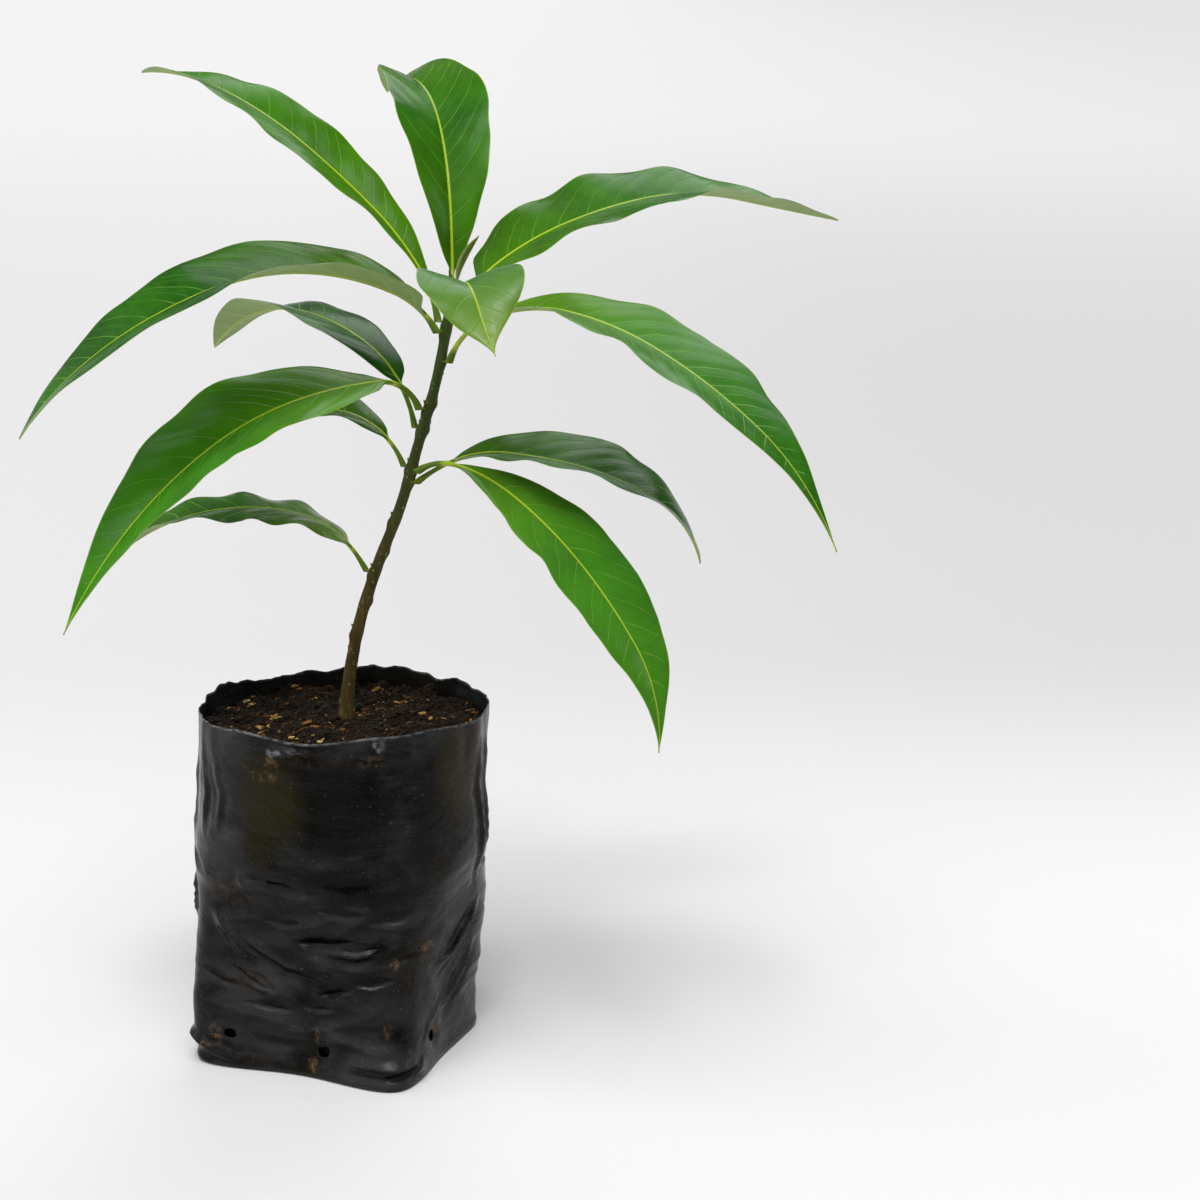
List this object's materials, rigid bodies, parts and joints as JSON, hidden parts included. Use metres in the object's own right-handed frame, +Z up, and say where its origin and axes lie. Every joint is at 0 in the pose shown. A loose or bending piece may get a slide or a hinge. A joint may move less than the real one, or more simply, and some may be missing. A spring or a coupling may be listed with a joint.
{
  "type": "potted abiu tree",
  "caption": "Young abiu tree in a black nursery bag of potting mix: a thin leaning stem with long, drooping, glossy leaves.",
  "frame": {"origin": "centre of the bag's flat underside, on the surface that it stands on", "axes": "+Z up along the bag; -Y towards the front; +X to the right, the way the stem leans"},
  "size_m": [0.2672, 0.1799, 0.3376],
  "materials": {
    "bag_film": "soft gloss, thin black film with grey haze and dry mud",
    "potting_mix": "matte, damp crumbs with bark chips and fibres",
    "bark": "matte brown bark below, smooth dark olive green above",
    "leaf": "glossy deep green above, dull pale green below, pale yellow-green midrib",
    "young_leaf": "satin olive green"
  },
  "bodies": {
    "root": {"bag": "bag_film", "soil": "potting_mix", "stem": "bark", "leaf_low_left": "leaf", "leaf_low_right": "leaf", "leaf_low_front": "leaf", "leaf_mid_back_left": "leaf", "leaf_mid_left": "leaf", "leaf_mid_front_left": "leaf", "leaf_high_right": "leaf", "leaf_high_left": "leaf", "leaf_top_left": "leaf", "leaf_top_right": "leaf", "leaf_top_front": "leaf", "leaf_top_back": "leaf", "leaf_young": "young_leaf"}
  },
  "joints": []
}
